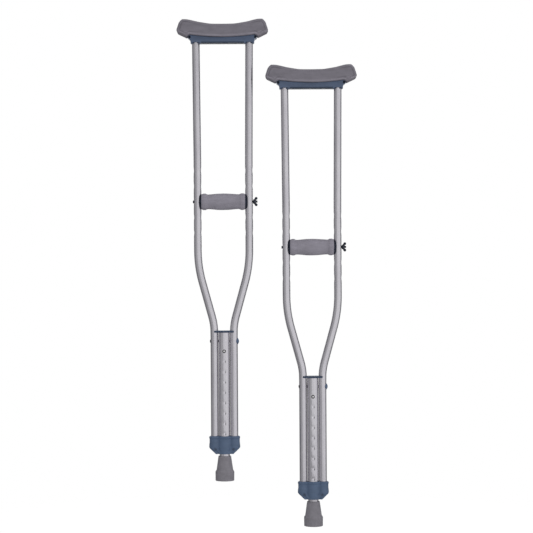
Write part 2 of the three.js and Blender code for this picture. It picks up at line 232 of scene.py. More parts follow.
def applied(piece):
    """Replaces a piece's mesh by what its modifiers make of it."""
    graph = bpy.context.evaluated_depsgraph_get()
    mesh = bpy.data.meshes.new_from_object(piece.evaluated_get(graph))
    old = piece.data
    piece.modifiers.clear()
    piece.data = mesh
    bpy.data.meshes.remove(old)
    return piece


def gathered(piece, *others):
    """Puts other closed shapes in a piece's mesh, as they are."""
    work = bmesh.new()
    work.from_mesh(piece.data)
    for other in others:
        work.from_mesh(other.data)
        bpy.data.objects.remove(other)
    work.to_mesh(piece.data)
    work.free()
    return piece


def boolean(piece, operation, others):
    """Joins or cuts by shapes that don't touch each other, all in one pass."""
    tool = gathered(*others)
    modifier = piece.modifiers.new("boolean", "BOOLEAN")
    modifier.operation = operation
    modifier.solver = "EXACT"
    modifier.object = tool
    applied(piece)
    bpy.data.objects.remove(tool)
    return piece


def cut(piece, *others):
    return boolean(piece, "DIFFERENCE", others)


def joined(piece, *others):
    return boolean(piece, "UNION", others)


def moulded(piece, voxel, rounds):
    """Rebuilds a piece as an even skin and softens its edges, as a mould does."""
    remesh = piece.modifiers.new("remesh", "REMESH")
    remesh.mode = "VOXEL"
    remesh.voxel_size = voxel
    smooth = piece.modifiers.new("smooth", "SMOOTH")
    smooth.factor = 0.5
    smooth.iterations = rounds
    return applied(piece)


def points_of(piece):
    mesh = piece.data
    values = np.empty(len(mesh.vertices) * 3, np.float32)
    mesh.vertices.foreach_get("co", values)
    return values.reshape(-1, 3).astype(float)


def reshaped(piece, points):
    piece.data.vertices.foreach_set("co", np.asarray(points, np.float32).ravel())
    piece.data.update()
    return piece


def painted(piece, values):
    """Stores how light each point of a piece is, for its finish to use."""
    attribute = piece.data.attributes.new("shade", "FLOAT", "POINT")
    attribute.data.foreach_set("value", np.asarray(values, np.float32))
    return piece


def hump(values, at, width):
    """1 where a value is at a place, falling smoothly to nothing on both sides."""
    return np.exp(-(((values - at) / width) ** 2))


def roughened(piece, amount, size, seed):
    """Moves each point along its normal by smooth noise, so that no face is perfectly even."""
    points = points_of(piece)
    normals = np.empty(points.size, np.float32)
    piece.data.vertex_normals.foreach_get("vector", normals)
    places = points / size + (seed, seed * 1.7, seed * 0.3)
    heights = np.array([noise.noise(place) for place in places.tolist()])
    return reshaped(piece, points + normals.reshape(-1, 3) * heights[:, None] * amount)


# ---- Finishes ----


class Finish:
    """A material with its Principled shader, and short ways to add nodes to it."""

    def __init__(self, name):
        self.material = bpy.data.materials.new(name)
        self.material.use_nodes = True
        self.tree = self.material.node_tree
        self.shader = self.tree.nodes["Principled BSDF"]

    def node(self, kind, inputs=None, **settings):
        made = self.tree.nodes.new(kind)
        for key, value in settings.items():
            setattr(made, key, value)
        for key, value in (inputs or {}).items():
            if isinstance(value, bpy.types.NodeSocket):
                self.tree.links.new(value, made.inputs[key])
            else:
                made.inputs[key].default_value = value
        return made

    def place(self, scale, attribute=None):
        """Where on the piece, in millimetres times scale.

        An attribute gives places along a drawn tube's own grain, and without one they are the object's."""
        if attribute:
            source = self.node("ShaderNodeAttribute", attribute_name=attribute).outputs["Vector"]
        else:
            source = self.node("ShaderNodeTexCoord").outputs["Object"]
            scale = tuple(s / MM for s in scale)
        return self.node("ShaderNodeMapping", {"Vector": source, "Scale": scale}).outputs["Vector"]

    def noise(self, place, detail=3.0, roughness=0.55):
        inputs = {"Vector": place, "Scale": 1.0, "Detail": detail, "Roughness": roughness}
        return self.node("ShaderNodeTexNoise", inputs).outputs["Fac"]

    def shade(self):
        """How light painted() made each point."""
        return self.node("ShaderNodeAttribute", attribute_name="shade").outputs["Fac"]

    def cells(self, place):
        return self.node("ShaderNodeTexVoronoi", {"Vector": place, "Scale": 1.0}).outputs["Distance"]

    def ramp(self, factor, stops):
        """A colour ramp from (position, colour) stops."""
        made = self.node("ShaderNodeValToRGB", {"Fac": factor})
        ramp = made.color_ramp
        while len(ramp.elements) < len(stops):
            ramp.elements.new(0.5)
        for element, (position, colour) in zip(ramp.elements, stops):
            element.position = position
            element.color = (*colour, 1)
        return made.outputs["Color"]

    def between(self, factor, low, high, from_low=0.3, from_high=0.7):
        inputs = {"Value": factor, "From Min": from_low, "From Max": from_high}
        inputs.update({"To Min": low, "To Max": high})
        return self.node("ShaderNodeMapRange", inputs).outputs["Result"]

    def blend(self, factor, a, b, mode="MIX"):
        made = self.node("ShaderNodeMix", data_type="RGBA", blend_type=mode)
        for socket, value in ((made.inputs[0], factor), (made.inputs[6], a), (made.inputs[7], b)):
            if isinstance(value, bpy.types.NodeSocket):
                self.tree.links.new(value, socket)
            elif isinstance(value, tuple):
                socket.default_value = (*value, 1)
            else:
                socket.default_value = value
        return made.outputs[2]

    def bump(self, height, strength, distance, below=None):
        inputs = {"Height": height, "Strength": strength, "Distance": distance * MM}
        if below is not None:
            inputs["Normal"] = below
        return self.node("ShaderNodeBump", inputs).outputs["Normal"]

    def set(self, **values):
        """Sets or links the shader's sockets, named with underscores for spaces."""
        for key, value in values.items():
            socket = self.shader.inputs[key.replace("_", " ")]
            if isinstance(value, bpy.types.NodeSocket):
                self.tree.links.new(value, socket)
            else:
                socket.default_value = value
        return self.material


def linear(red, green, blue):
    """A display colour, 0 to 255, as the linear colour that shaders take."""
    shares = (c / 255 for c in (red, green, blue))
    return tuple(c / 12.92 if c <= 10 / 255 else ((c + 0.055) / 1.055) ** 2.4 for c in shares)


def scaled(colour, share):
    return tuple(c * share for c in colour)


def satin_aluminium(name, colour, attribute="grain", shaded=False):
    """Drawn and anodised: fine streaks along the tube, faint clouding and a few rubbed places."""
    f = Finish(name)
    streaks = f.noise(f.place((1.1, 1.1, 0.012), attribute), 4.0)
    clouds = f.noise(f.place((0.05, 0.05, 0.02), attribute), 2.0)
    scuffs = f.noise(f.place((0.35, 0.35, 0.09), attribute), 5.0, 0.7)
    tint = f.ramp(streaks, [(0.3, scaled(colour, 0.9)), (0.5, colour), (0.72, scaled(colour, 1.08))])
    cloud = f.ramp(clouds, [(0.3, (0.93, 0.925, 0.94)), (0.7, (1.0, 1.0, 1.0))])
    worn = f.ramp(scuffs, [(0.66, (1.0, 1.0, 1.0)), (0.8, (0.88, 0.88, 0.89))])
    base = f.blend(1.0, f.blend(1.0, tint, cloud, "MULTIPLY"), worn, "MULTIPLY")
    if shaded:
        base = f.blend(1.0, base, f.shade(), "MULTIPLY")
    return f.set(
        Base_Color=base,
        Metallic=1.0,
        Roughness=f.between(streaks, 0.2, 0.3),
        Normal=f.bump(streaks, 0.12, 0.08),
    )


def moulded_plastic(name, colour, roughness=0.45, shaded=False):
    """Spark-eroded mould grain, faint flow clouding, and edges rubbed a little paler."""
    f = Finish(name)
    grain = f.noise(f.place((1.6, 1.6, 1.6)), 3.0)
    flow = f.noise(f.place((0.03, 0.03, 0.07)), 3.0)
    edge = f.node("ShaderNodeNewGeometry").outputs["Pointiness"]
    rubbed = f.between(edge, 0.0, 0.35, 0.52, 0.62)
    body = f.ramp(flow, [(0.3, scaled(colour, 0.86)), (0.52, colour), (0.75, scaled(colour, 1.12))])
    speck = f.blend(1.0, body, f.ramp(grain, [(0.3, (0.92,) * 3), (0.6, (1.0,) * 3)]), "MULTIPLY")
    pale = f.blend(rubbed, speck, scaled(colour, 1.12))
    if shaded:
        pale = f.blend(1.0, pale, f.shade(), "MULTIPLY")
    return f.set(
        Base_Color=pale,
        Roughness=f.between(grain, roughness - 0.07, roughness + 0.1),
        Specular_IOR_Level=0.4,
        Normal=f.bump(grain, 0.2, 0.12),
    )


def foam(name, colour, pore=1.3, depth=0.35, shaded=False):
    """Closed-cell foam with a moulded skin: fine pores with painted shade inside, and soft mottling."""
    f = Finish(name)
    pores = f.cells(f.place((1 / pore,) * 3))
    fine = f.noise(f.place((2.4, 2.4, 2.4)), 4.0, 0.65)
    mottle = f.noise(f.place((0.045, 0.045, 0.09)), 4.0, 0.6)
    streak = f.noise(f.place((0.02, 0.05, 0.16)), 3.0)
    body = f.ramp(mottle, [(0.28, scaled(colour, 0.88)), (0.5, colour), (0.74, scaled(colour, 1.1))])
    lined = f.blend(1.0, body, f.ramp(streak, [(0.35, (0.95,) * 3), (0.65, (1.03,) * 3)]), "MULTIPLY")
    # Painted shade inside each pore.
    pitted = f.blend(1.0, lined, f.ramp(pores, [(0.05, (0.86,) * 3), (0.3, (1.0,) * 3)]), "MULTIPLY")
    if shaded:
        pitted = f.blend(1.0, pitted, f.shade(), "MULTIPLY")
    coarse = f.bump(pores, 0.35, depth)
    return f.set(
        Base_Color=pitted,
        Roughness=f.between(fine, 0.72, 0.9),
        Specular_IOR_Level=0.3,
        Normal=f.bump(fine, 0.25, 0.2, coarse),
    )


def rubber(name, colour):
    """Moulded rubber: matte, finely grained and scuffed dark in places."""
    f = Finish(name)
    fine = f.noise(f.place((1.9, 1.9, 1.9)), 4.0, 0.6)
    mottle = f.noise(f.place((0.09, 0.09, 0.09)), 4.0, 0.6)
    scuff = f.noise(f.place((0.35, 0.35, 0.8)), 5.0, 0.7)
    body = f.ramp(mottle, [(0.28, scaled(colour, 0.87)), (0.5, colour), (0.74, scaled(colour, 1.1))])
    worn = f.ramp(scuff, [(0.55, (1.0,) * 3), (0.75, (0.85,) * 3)])
    return f.set(
        Base_Color=f.blend(1.0, body, worn, "MULTIPLY"),
        Roughness=f.between(fine, 0.6, 0.82),
        Specular_IOR_Level=0.35,
        Normal=f.bump(fine, 0.3, 0.2),
    )


def plated_steel(name, colour, roughness, bare=None):
    """Plated steel with faint turning marks and blotchy plating, bare where it is painted() so."""
    f = Finish(name)
    marks = f.noise(f.place((3.0, 3.0, 3.0)), 3.0)
    blotch = f.noise(f.place((0.5, 0.5, 0.5)), 3.0)
    body = f.ramp(blotch, [(0.3, scaled(colour, 0.75)), (0.7, scaled(colour, 1.2))])
    if bare:
        body = f.blend(f.shade(), body, bare)
    return f.set(
        Base_Color=body,
        Metallic=0.85,
        Roughness=f.between(marks, roughness - 0.08, roughness + 0.1),
        Normal=f.bump(marks, 0.15, 0.06),
    )


TUBE_COLOUR = linear(209, 207, 212)
DARK_STEEL_COLOUR = linear(48, 54, 68)
FINISHES = {
    "pad_foam": foam("pad_foam", linear(151, 147, 157), 1.5, 0.4, shaded=True),
    "grip_foam": foam("grip_foam", linear(178, 174, 186), 1.2, 0.35),
    "tip_rubber": rubber("tip_rubber", linear(161, 158, 166)),
    "tube_aluminium": satin_aluminium("tube_aluminium", TUBE_COLOUR),
    "blue_plastic": moulded_plastic("blue_plastic", linear(104, 125, 156), 0.38),
    "dark_plastic": moulded_plastic("dark_plastic", linear(58, 68, 88), 0.5),
    "painted_steel": moulded_plastic("painted_steel", linear(88, 104, 130), 0.35),
    "dark_steel": plated_steel("dark_steel", DARK_STEEL_COLOUR, 0.35),
    "bright_steel": plated_steel("bright_steel", linear(205, 205, 207), 0.25),
    "nylon": moulded_plastic("nylon", linear(212, 212, 206), 0.5),
}
# The same slots on pieces that are painted(), or that are a shade of their own.
BOLT_STEEL = plated_steel("bolt_steel", DARK_STEEL_COLOUR, 0.35, bare=linear(205, 205, 208))
LEG_ALUMINIUM = satin_aluminium("leg_aluminium", TUBE_COLOUR, shaded=True)
BRACKET_PLASTIC = moulded_plastic("bracket_plastic", linear(101, 118, 147), 0.38, shaded=True)
SPACER_PLASTIC = moulded_plastic("spacer_plastic", linear(70, 86, 112), 0.5)
# The button's dark colour is painted shade round its bright dome.
BUTTON_STEEL = plated_steel("button_steel", linear(40, 40, 42), 0.22, bare=linear(250, 250, 250))


# ---- Placing ----


def place(piece, name, body, node, slot, angle=35, fill=None, finish=None, bend=None):
    """Puts a copy of a finished piece on each crutch, riding on its body, in place of the CAD node.

    bend is (the other body, start, end) for a piece that bends between two bodies; such a piece rides on no
    body and keeps its transform baked in, and the other body, start and end are not used."""
    for crutch in CRUTCHES:
        mesh = piece.data.copy()
        mesh.transform(Matrix.Translation(ORIGINS[crutch]) @ Matrix.Scale(MM, 4))
        mesh.materials.clear()
        mesh.materials.append(finish or FINISHES[slot])
        mesh.shade_smooth()
        mesh.set_sharp_from_angle(angle=math.radians(angle))
        made = bpy.data.objects.new(f"{crutch[-1]}_{name}", mesh)
        bpy.context.scene.collection.objects.link(made)
        if bend:
            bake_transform(made)
        else:
            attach(made, body.format(crutch))
        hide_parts(f"{crutch}_{node}")
    bpy.data.objects.remove(piece)


def keep(node, slot):
    """Leaves a CAD node showing, with a finish of its own."""
    for crutch in CRUTCHES:
        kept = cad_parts[f"{crutch}_{node}"]
        kept.data.materials.clear()
        kept.data.materials.append(FINISHES[slot])


# ---- Bows ----


def bow_route():
    """The right bow's centreline as points in x and z, and how far each is along it."""
    corners = [
        (BOW_LOW, BOW_BOTTOM),
        (BOW_LOW, LOWER_BEND, LOWER_BEND_RADIUS),
        (BOW_GRIP, UPPER_BEND, UPPER_BEND_RADIUS),
        (BOW_GRIP, SPREAD_START, SPREAD_RADIUS),
        (BOW_TOP, BOW_END),
    ]
    points = np.array(filleted(corners, step=math.radians(1)))
    steps = np.linalg.norm(np.diff(points, axis=0), axis=1)
    return points, np.concatenate([[0], np.cumsum(steps)])


def bow_stations():
    """Places along the bow, close together where it bends or is pinched."""
    points, along = bow_route()
    fine, coarse = 2.2, 24.0
    bends = (LOWER_BEND - 30, UPPER_BEND + 50)
    places, here = [], 0.0
    while here < along[-1]:
        places.append(here)
        z = np.interp(here, along, points[:, 1])
        gap = min(abs(z - hole) for hole in GRIP_HOLES) - PINCH_HALF_LENGTH - 2
        if gap < 0 or bends[0] < z < bends[1]:
            here += fine
        else:
            here += min(coarse, max(fine, gap))
    places.append(along[-1])
    x = np.interp(places, along, points[:, 0])
    z = np.interp(places, along, points[:, 1])
    return np.array(places), x, z


def pinch(z):
    """How much each side is pressed in at a height, round the nearest grip hole."""
    off = min(abs(z - hole) for hole in GRIP_HOLES) / PINCH_HALF_LENGTH
    return PINCH_DEPTH * (0.5 + 0.5 * math.cos(math.pi * off)) if off < 1 else 0.0


def bow(side):
    places, x, z = bow_stations()
    slope = np.gradient(x, places), np.gradient(z, places)
    ring = circle(40)
    pressed, swell = 0.12, 0.035  # the curve that a pinch leaves, and how it bulges front and back
    own_grain = side * 40  # keeps the two bows' streaks apart
    rings, grain = [], []
    order = [(i, BOW_RADIUS) for i in range(len(places))]
    order += [(i, BOW_BORE) for i in reversed(range(len(places)))]
    for i, radius in order:
        tangent = np.array([slope[0][i], slope[1][i]])
        tangent /= np.linalg.norm(tangent)
        depth = pinch(z[i])
        limit = radius - depth
        across = ring[:, 0] * radius
        flat = np.sign(across) * np.minimum(np.abs(across), limit + pressed * (np.abs(across) - limit))
        deep = ring[:, 1] * radius * (1 + swell * depth)
        rings.append(
            np.column_stack([side * (x[i] + flat * tangent[1]), deep, z[i] - flat * tangent[0]])
        )
        grain.append(np.column_stack([ring * radius, np.full(len(ring), places[i])]) + own_grain)
    made = loft("bow", rings, closed=True, grain=grain)
    # Each cutter goes through both walls of this bow alone.
    start, end = sorted((side * 40, side * 90))
    holes = [rod(GRIP_HOLE_RADIUS, "x", start, end, (0, 0, hole), 32) for hole in GRIP_HOLES]
    start, end = sorted((side * 10, side * 40))
    holes.append(rod(CROSS_HOLE_RADIUS, "x", start, end, (0, 0, CROSS_BOLT_HEIGHT), 24))
    return cut(made, *holes)


# ---- Centre tube and leg ----


def centre_tube():
    """Nine holes down the front, each in the shallow dish that the punch leaves."""
    sides = 96
    rim, dish_depth, dish_width, dish_length = 0.4, 0.5, 0.9, 6.0
    ring = circle(sides)
    places = np.arange(TUBE_BOTTOM, TUBE_TOP, 1.6)
    rings, grain = [], []
    for z in [*places, TUBE_TOP]:
        across = np.abs(np.arctan2(ring[:, 0], -ring[:, 1])) * TUBE_RADIUS
        along = min(abs(z - hole) for hole in HEIGHT_HOLES)
        beside = np.maximum(across - HOLE_RADIUS + rim, 0) / dish_width
        dish = dish_depth * np.exp(-(beside**2) - (along / dish_length) ** 2)
        rings.append(np.column_stack([ring * (TUBE_RADIUS - dish)[:, None], np.full(sides, z)]))
        grain.append(np.column_stack([ring * TUBE_RADIUS, np.full(sides, z)]))
    for z in (TUBE_TOP, TUBE_BOTTOM):
        rings.append(np.column_stack([ring * TUBE_BORE, np.full(sides, z)]))
        grain.append(np.column_stack([ring * TUBE_BORE, np.full(sides, z)]))
    made = loft("centre_tube", rings, closed=True, grain=grain)
    holes = [rod(HOLE_RADIUS, "y", -20, -6, (0, 0, hole), 40) for hole in HEIGHT_HOLES[1:]]
    holes.append(rod(BUTTON_HOLE_RADIUS, "y", -20, -6, (0, 0, HOLE_TOP), 40))
    return cut(made, *holes)


def leg_tube():
    profile = [(LEG_RADIUS, LEG_BOTTOM + 0.4)]
    profile += [(LEG_RADIUS, z) for z in np.arange(LEG_BOTTOM + 6, LEG_TOP - 3, 1.5)]
    profile += filleted([(LEG_RADIUS, LEG_TOP - 2), (LEG_RADIUS, LEG_TOP, 0.6), (LEG_BORE, LEG_TOP)])
    profile += [(LEG_BORE, LEG_BOTTOM), (LEG_RADIUS - 0.4, LEG_BOTTOM)]
    made = turned("leg_tube", profile, sides=96, closed=True)
    cut(made, rod(BUTTON_HOLE_RADIUS, "y", -20, -4, (0, 0, HOLE_TOP), 40))
    # What shows through the height holes is painted with a highlight on one side and a shadow on the other.
    points = points_of(made)
    along = np.min([np.abs(points[:, 2] - hole) for hole in HEIGHT_HOLES[1:]], axis=0)
    through = hump(along, 0, 2.8) * (points[:, 1] < 0)
    painted_shadow = hump(points[:, 0], 3.5, 1.5) * through
    bright = hump(points[:, 0], -1.0, 1.6) * through
    return painted(made, 1 - 0.9 * painted_shadow + 0.4 * bright)


def snap_button():
    low, high = span("snap_button")
    radius, dome, flange, flange_face = 3.1, 2.8, high.x, -9.9
    profile = filleted(
        [(0, low.y), (radius, low.y, dome), (radius, flange_face), (flange, flange_face, 0.3),
         (flange, high.y), (0, high.y)],
        step=math.radians(6),
    )
    made = turned("snap_button", profile, "y", (0, 0, HOLE_TOP), 48)
    # Only the dome stays bright; what stands in the hole is painted dark, as painted shade.
    depth = points_of(made)[:, 1] - low.y
    return painted(made, np.clip((1.5 - depth) / 0.6, 0, 1))


def button_spring():
    """A bent strip of spring steel: one arm behind the button, the other against the back of the leg."""
    low, high = span("button_spring")
    thick = 0.8
    front, rear = low.y + thick / 2, high.y - thick / 2
    corners = [
        (front, high.z), (front, HOLE_TOP - 6.4, 3.0), (0, low.z + thick / 2, 1.3), (rear, high.z - 5)
    ]
    points = np.array(filleted(corners))
    along = np.concatenate([[0], np.cumsum(np.linalg.norm(np.diff(points, axis=0), axis=1))])
    places = np.linspace(0, along[-1], 120)
    y, z = (np.interp(places, along, points[:, k]) for k in (0, 1))
    slope = np.column_stack([np.gradient(y, places), np.gradient(z, places)])
    slope /= np.linalg.norm(slope, axis=1)[:, None]
    w, t, r = high.x, thick / 2, 0.15
    section = [
        (w - r, -t), (w, r - t), (w, t - r), (w - r, t), (r - w, t), (-w, t - r), (-w, r - t), (r - w, -t)
    ]
    rings = []
    for here_y, here_z, (slope_y, slope_z) in zip(y, z, slope):
        rings.append([(x, here_y + off * slope_z, here_z - off * slope_y) for x, off in section])
    return loft("button_spring", rings)


# ---- Rubber tip ----


def tip():
    """A tapered socket on a flared foot, with rings moulded in the sole."""
    height = span("tip")[1].z
    foot = span("tip")[1].x
    bore, floor, groove = 13.1, 9.0, 1.6
    sole = [(0, 0)]
    for radius in (5, 9, 13, 17):
        sole += [(radius, 0), (radius + 0.5, groove), (radius + 1.8, groove), (radius + 2.3, 0)]
    side = filleted(
        [
            (foot - 2.8, 0),
            (foot - 0.3, 0, 1.6),
            (foot, 22.2, 3.0),
            (20.3, 26.8, 2.5),
            (15.4, height, 0.9),
            (bore, height, 0.6),
            (bore, floor),
            (0, floor),
        ]
    )
    made = turned("tip", sole + side, sides=96)
    return roughened(made, 0.12, 14, 3.1)


# ---- Collar ----

COLLAR_LOW, COLLAR_HIGH = span("collar")
COLLAR_SHOULDER, COLLAR_BASE = 81.4, 21.5
LOBES = ((18.6, 0.0), (14.1, 24.0))


def lobed(x):
    """Half the collar's depth at a place across it: a lobe for each tube, run into each other."""
    heights = []
    for radius, at in LOBES:
        off = np.minimum(np.abs(np.abs(x) - at), radius - 0.02)
        heights.append(np.sqrt(radius**2 - off**2))
    sharp, trim = 1.6, 0.12
    return np.logaddexp(heights[0] * sharp, heights[1] * sharp) / sharp - trim


def collar():
    low, high, half = COLLAR_LOW.z, COLLAR_HIGH.z, 38.1
    # (height, half width, how far the lobes stand out)
    levels = [
        (low, COLLAR_BASE, -0.4),
        (low + 0.8, COLLAR_BASE + 0.7, 0.0),
        (COLLAR_SHOULDER - 1.3, half - 1.2, 0.0),
        (COLLAR_SHOULDER + 1.3, half, 0.0),
        (88.0, half - 0.3, -0.3),
        (95.0, half - 1.2, -0.8),
        (high - 6.4, half - 1.1, -1.0),
        (high - 5.2, half - 0.4, -0.1),
        (high - 3.0, half - 0.1, 0.2),
        (high - 1.4, half - 0.9, -0.3),
        (high - 0.5, half - 2.0, -1.1),
        (high, half - 3.4, -2.2),
    ]
    share = np.sin(np.linspace(-math.pi / 2, math.pi / 2, 61))
    rings = []
    for z, width, proud in levels:
        x = share * width
        y = lobed(x) + proud
        front = np.column_stack([x, -y, np.full(len(x), z)])
        back = np.column_stack([x[::-1], y[::-1], np.full(len(x), z)])
        rings.append(np.concatenate([front, back]))
    made = loft("collar", rings)
    ring_low, ring_high = span("leg_guide_ring")
    leg, ring, tube = LEG_RADIUS + 0.9, ring_high.x + GAP, TUBE_RADIUS + GAP
    shelf, step = ring_low.z - GAP, ring_high.z + 0.1
    well = [(leg, low - 2), (leg, shelf), (ring, shelf), (ring, step), (tube, step), (tube, high + 2)]
    screw = span("collar_screw_right")
    head, face = (screw[1].x - screw[0].x) / 2, screw[0].y
    screw_x, screw_z = middle("collar_screw_right").x, screw[0].z + head
    screws = [rod(head + 0.35, "y", -25, face + 1.6, (s * screw_x, 0, screw_z), 32) for s in SIDES]
    cut(made, turned("well", well, sides=72), *screws)
    sockets = [rod(BOW_SEAT, "z", BOW_BOTTOM - GAP, high + 2, (s * BOW_LOW, 0, 0)) for s in SIDES]
    window = rod(HOLE_RADIUS + 1.0, "y", -25, -TUBE_BORE, (0, 0, HEIGHT_HOLES[-1]))
    cut(made, window, *sockets)
    return moulded(made, 0.62, 2)


def collar_screw(side):
    low, high = span(f"collar_screw_{side}")
    x, z = (low.x + high.x) / 2, (low.z + high.z) / 2
    head = (high.x - low.x) / 2
    profile = filleted(
        [(0, low.y), (head - 0.3, low.y), (head, low.y + 0.3, 0.2), (head, low.y + 1.3), (2.0, low.y + 2.8),
         (2.0, high.y), (0, high.y)]
    )
    made = turned("collar_screw", profile, "y", (x, 0, z), 40)
    arm, blade = 1.9, 0.4
    quarter = [(arm, -blade), (arm, blade), (blade, blade)]
    cross = [(u * cos - v * sin, u * sin + v * cos)
             for cos, sin in ((1, 0), (0, 1), (-1, 0), (0, -1)) for u, v in quarter]
    recess = extruded("recess", cross, 2.4, at=low.y)
    reshaped(recess, points_of(recess) + (x, 0, z))
    return cut(made, recess)


# ---- Top spacer and cross bolt ----


def top_spacer():
    low, high = span("top_spacer")
    plate_bottom = TUBE_TOP + GAP
    outline = filleted(mirrored([(0, -high.y), (high.x, -high.y, 2.2), (high.x, high.y, 2.2), (0, high.y)]))
    made = extruded("top_spacer", outline, high.z - plate_bottom, "xy", (high.z + plate_bottom) / 2)
    notch_x = BOW_LOW + 0.15
    notches = [rod(BOW_RADIUS + 0.5, "z", plate_bottom - 2, high.z + 2, (s * notch_x, 0, 0)) for s in SIDES]
    cut(made, *notches)
    joined(made, rod(TUBE_BORE - 0.6, "z", low.z, plate_bottom + 1, sides=64))
    return moulded(made, 0.4, 2)


def cross_bolt():
    low, high = span("cross_bolt")
    head, shank, face = 4.25, 2.9, -BOW_LOW - BOW_RADIUS - GAP
    profile = filleted(
        [(0, low.x), (head * 0.4, low.x, 0.8), (head, face - 0.3, 0.6), (head, face, 0.1), (shank, face),
         (shank, high.x), (0, high.x)]
    )
    made = turned("cross_bolt", profile, "x", (0, 0, CROSS_BOLT_HEIGHT), 48)
    # The head keeps the dark colour and the shank is painted bare steel.
    return painted(made, points_of(made)[:, 0] > face + 0.2)


def cross_bolt_cap():
    low, high = span("cross_bolt_cap")
    radius = (high.z - low.z) / 2
    face = BOW_LOW + BOW_RADIUS
    profile = filleted(
        [(0, low.x), (radius, low.x), (radius, face + 0.2, 0.8), (3.8, face + 2.6, 2.2), (1.2, high.x, 1.0),
         (0, high.x)]
    )
    made = turned("cross_bolt_cap", profile, "x", (0, 0, CROSS_BOLT_HEIGHT), 64)
    cut(made, rod(BOW_SEAT, "z", CROSS_BOLT_HEIGHT - 20, CROSS_BOLT_HEIGHT + 20, (BOW_LOW, 0, 0)))
    cut(made, rod(3.3, "x", 20, face + 1.5, (0, 0, CROSS_BOLT_HEIGHT), 32))
    return moulded(made, 0.3, 2)


# ---- Handgrip ----


def grip_core():
    """A tube with a disc at each end, hollowed to saddle the bow."""
    at = (0, 0, GRIP_HEIGHT)
    flange, inner, wall, wrap = 18.2, 52.6, 12.0, 55.7
    half = filleted(
        [(wall, inner), (flange, inner, 0.4), (flange, inner + 1.2, 0.6), (10.0, wrap, 1.2), (0, wrap)]
    )
    profile = [(r, -x) for r, x in reversed(half)] + half
    made = turned("grip_core", profile, "x", at, 72)
    saddles = [rod(BOW_SEAT, "z", GRIP_HEIGHT - 30, GRIP_HEIGHT + 30, (s * BOW_GRIP, 0, 0)) for s in SIDES]
    cut(made, *saddles)
    cut(made, rod(GRIP_HOLE_RADIUS, "x", -70, 70, at, 32))
    return moulded(made, 0.55, 2)


def grip_sleeve():
    """Foam that swells in the middle and is rolled up to a bead near each end."""
    end, bore, recess = 53.4, 12.3, 52.5
    half = filleted(
        [(20.35, 0), (20.0, 12, 60), (18.3, 32, 60), (18.0, 39.0, 8), (20.4, 43.4, 2.2), (20.5, 48.3, 2.6),
         (18.8, end, 0.4), (18.3, end), (18.3, recess), (bore, recess)],
        step=math.radians(3),
    )
    outside = [(r, -x) for r, x in reversed(half[1:])] + half
    dense = []
    for (r0, x0), (r1, x1) in zip(outside, outside[1:]):
        steps = max(1, round(abs(x1 - x0) / 1.2))
        dense += [(r0 + (r1 - r0) * k / steps, x0 + (x1 - x0) * k / steps) for k in range(steps)]
    dense.append(outside[-1])
    made = turned("grip_sleeve", dense, "x", (0, 0, GRIP_HEIGHT), 96, True)
    return roughened(made, 0.35, 17, 7.3)


def bolt_ring(ring, size, x):
    """A ring round the handgrip's axis, with one radius or one for each point."""
    flat = ring * np.reshape(size, (-1, 1))
    return np.column_stack([np.full(len(ring), x), flat[:, 0], GRIP_HEIGHT + flat[:, 1]])


def threaded(radius, depth, start, end, sides):
    """Rings of a right-hand thread along x."""
    steps = 8
    count = round((end - start) / THREAD_PITCH * steps)
    ring = circle(sides)
    turn = np.arange(sides) / sides
    rings = []
    for x in np.linspace(start, end, count):
        phase = (x / THREAD_PITCH - turn) % 1
        tooth = np.abs(phase - 0.5) * 2
        rings.append(bolt_ring(ring, radius - depth * tooth, x))
    return rings


def grip_bolt():
    end = span("grip_bolt")[1].x
    radius, head, top, sides = 3.0, 4.3, -GRIP_FACE - 1.9, 32
    ring = circle(sides)
    profile = filleted(
        [(0.3, top), (head * 0.5, top, 0.8), (head, -GRIP_FACE - 0.7, 0.6), (head, -GRIP_FACE, 0.2),
         (radius, -GRIP_FACE)]
    )
    profile += [(radius, x) for x in (-40, 0, 40, 58)]
    rings = [bolt_ring(ring, size, x) for size, x in profile]
    rings += threaded(radius, 0.45, 59, end - 0.7, sides)
    rings += [bolt_ring(ring, size, x) for size, x in ((radius - 0.5, end - 0.3), (radius - 0.9, end))]
    return loft("grip_bolt", rings)


def nut_washer():
    low, high = span("nut_washer")
    inner, outer = 3.4, (high.z - low.z) / 2
    profile = filleted(
        [(inner, low.x, 0.2), (outer, low.x, 0.4), (outer, high.x, 0.4), (inner, high.x, 0.2)]
    )
    return turned("nut_washer", profile, "x", (0, 0, GRIP_HEIGHT), 64, True)


def bead(at, size):
    """A rounded lump, to be run together with others."""
    ring, most = circle(24), math.pi / 2 - 0.15
    rings = []
    for angle in np.linspace(-most, most, 13):
        level = np.full(len(ring), math.sin(angle))
        rings.append(np.array(at) + np.column_stack([ring * math.cos(angle), level]) * size)
    return loft("bead", rings)


def wing_nut():
    """A cast hub with two splayed ears, one up and one down, that thicken to rounded ends."""
    face = span("wing_nut")[0].x
    at = (0, 0, GRIP_HEIGHT)
    hub = [(0, face), (5.6, face, 0.6), (5.2, face + 2.8, 1.0), (4.4, face + 6.0, 1.2), (0, face + 6.0)]
    made = turned("wing_nut", filleted(hub), "x", at, 48)
    end_along, end_out = 6.2, 7.9
    for side in SIDES:
        for share in np.linspace(0, 1, 9):
            along = face + 1.8 + (end_along - 1.8) * share
            out = 3.2 + (end_out - 3.2) * share
            swell = 2.3 + 1.2 * share**2
            gathered(made, bead((along, 0, GRIP_HEIGHT + side * out), (swell, 1.6 + 0.4 * share, swell)))
    moulded(made, 0.32, 3)
    cut(made, rod(3.15, "x", face - 1, face + 20, at, 32))
    # The middle is painted lighter, blended toward bare steel.
    out = np.hypot(points_of(made)[:, 1], points_of(made)[:, 2] - GRIP_HEIGHT)
    return painted(made, 0.35 * np.exp(-((out / 4.5) ** 4)))


# ---- Underarm support ----

SEAM_MIDDLE, SEAM_RISE, SEAM_HALF = 1086.9, 5.6, 80.0


